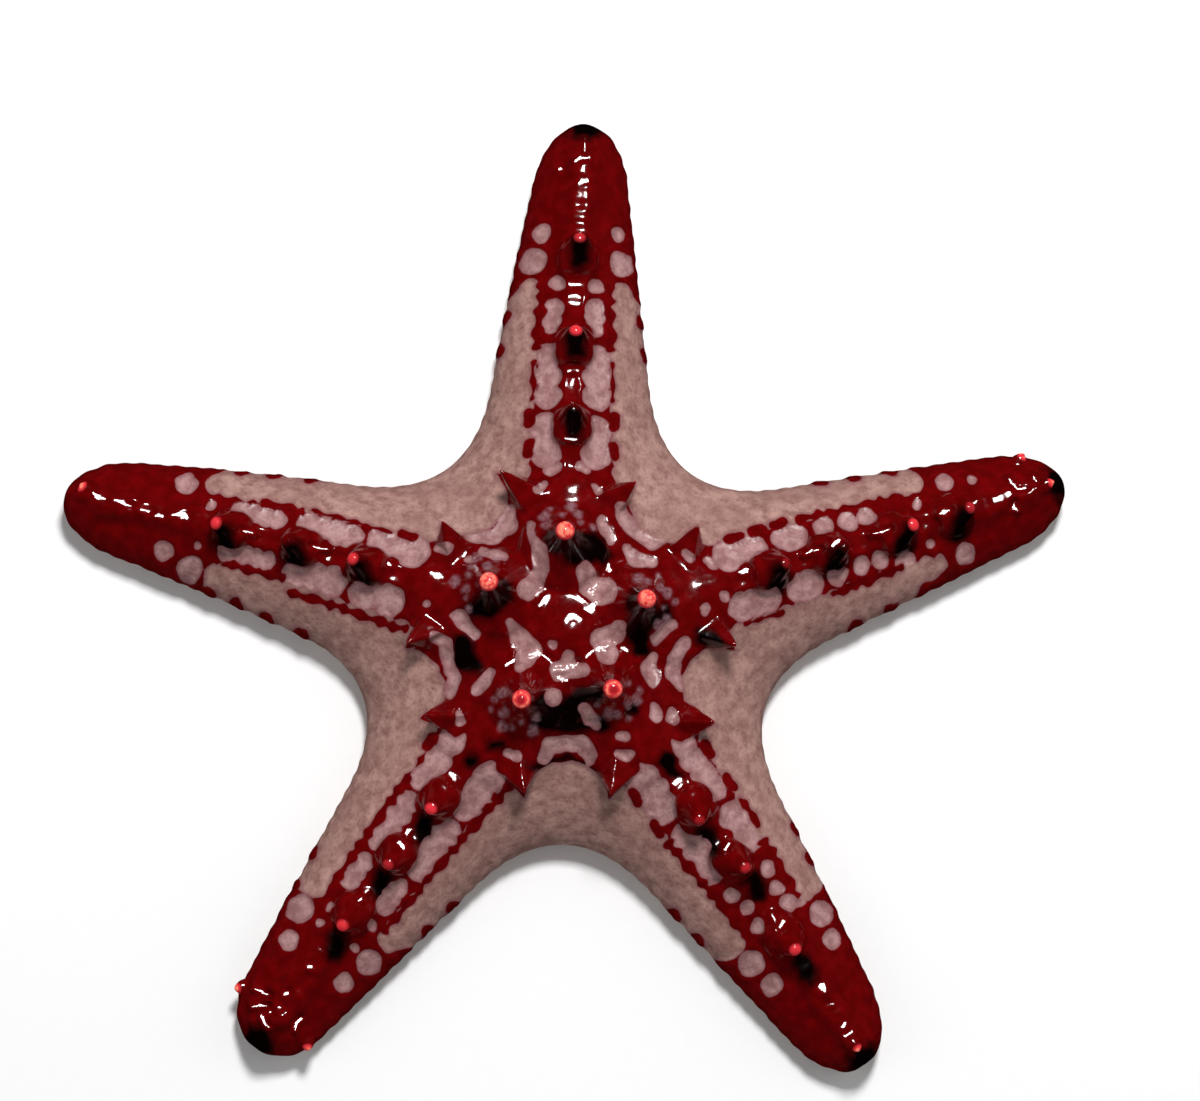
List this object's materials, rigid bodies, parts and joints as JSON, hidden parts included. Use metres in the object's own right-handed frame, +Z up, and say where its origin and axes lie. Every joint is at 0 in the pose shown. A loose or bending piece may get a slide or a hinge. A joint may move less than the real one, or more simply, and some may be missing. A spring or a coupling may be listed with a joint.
{
  "type": "african red knob starfish",
  "caption": "Life-size still model of a five-armed sea star with tall red knobs, a red ridge net over grey-brown skin, and a furrowed underside it rests on.",
  "frame": {"origin": "middle of the body's box, at the floor that the underside rests on", "axes": "+Z up out of the back; +X to the right and +Y away from the viewer as the picture shows it from above, with arm_1 pointing along +Y"},
  "size_m": [0.1006, 0.0954, 0.0196],
  "materials": {
    "skin": "wet, glossy skin with a dark red ridge net and knobs over grey-brown",
    "sieve_plate": "matt, finely grooved limestone plate",
    "under_flesh": "pale, moist flesh of the mouth and the tube feet"
  },
  "bodies": {
    "root": {"disc": "skin", "arm_1": "skin", "arm_2": "skin", "arm_3": "skin", "arm_4": "skin", "arm_5": "skin", "madreporite": "sieve_plate", "mouth": "under_flesh"}
  },
  "joints": []
}
